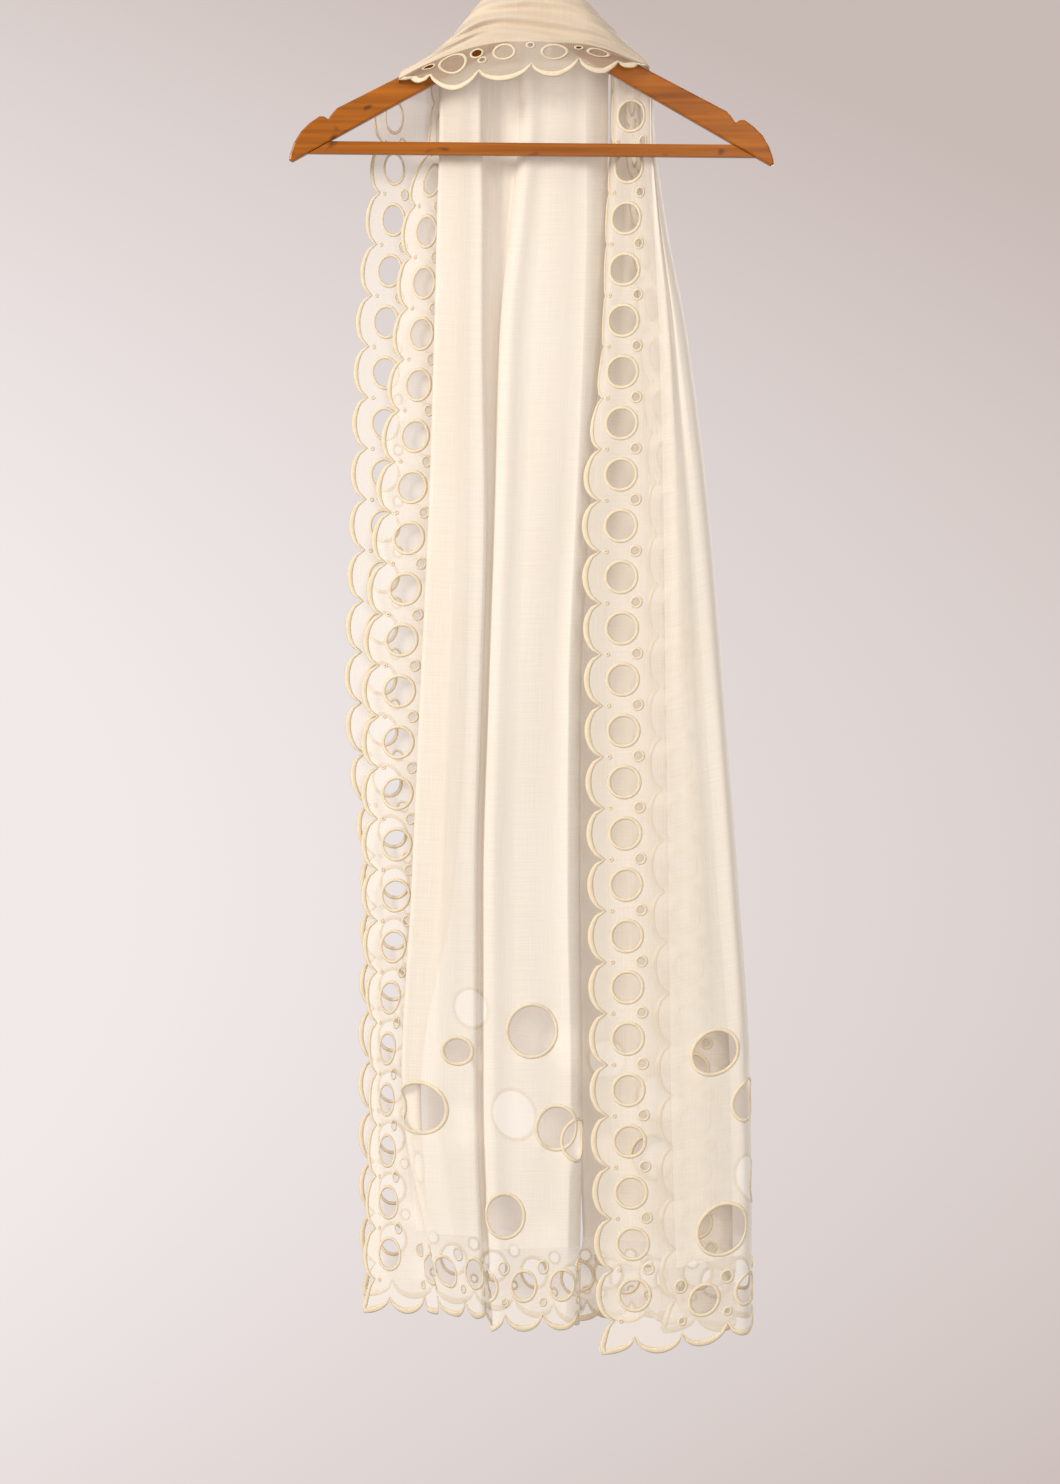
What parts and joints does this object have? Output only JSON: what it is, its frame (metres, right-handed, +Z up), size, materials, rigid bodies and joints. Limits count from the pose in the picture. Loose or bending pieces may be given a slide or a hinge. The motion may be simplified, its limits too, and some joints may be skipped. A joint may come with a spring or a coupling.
{
  "type": "dupatta stole on a wooden hanger",
  "caption": "Sheer cream organza dupatta stole with scalloped cut-work borders, swagged over the neck of a wooden hanger with both ends hanging behind.",
  "frame": {"origin": "inner top of the hanger's hook, where a rail would carry it", "axes": "+Z up, +X to the viewer's right along the hanger, -Y to the front"},
  "size_m": [0.445, 0.0954, 1.3298],
  "materials": {
    "organza": "satin",
    "edging": "satin",
    "wood": "gloss",
    "hook": "satin"
  },
  "bodies": {
    "root": {"hook": "hook", "hanger_yoke": "wood", "hanger_bar": "wood", "swag_front": "organza", "swag_front_border": "edging", "swag_left_shoulder": "organza", "swag_right_shoulder": "organza", "left_field": "organza", "left_border_outer": "edging", "left_border_inner": "edging", "left_hem_border": "edging", "right_field": "organza", "right_border_front": "edging", "right_hem_border": "edging"}
  },
  "joints": []
}
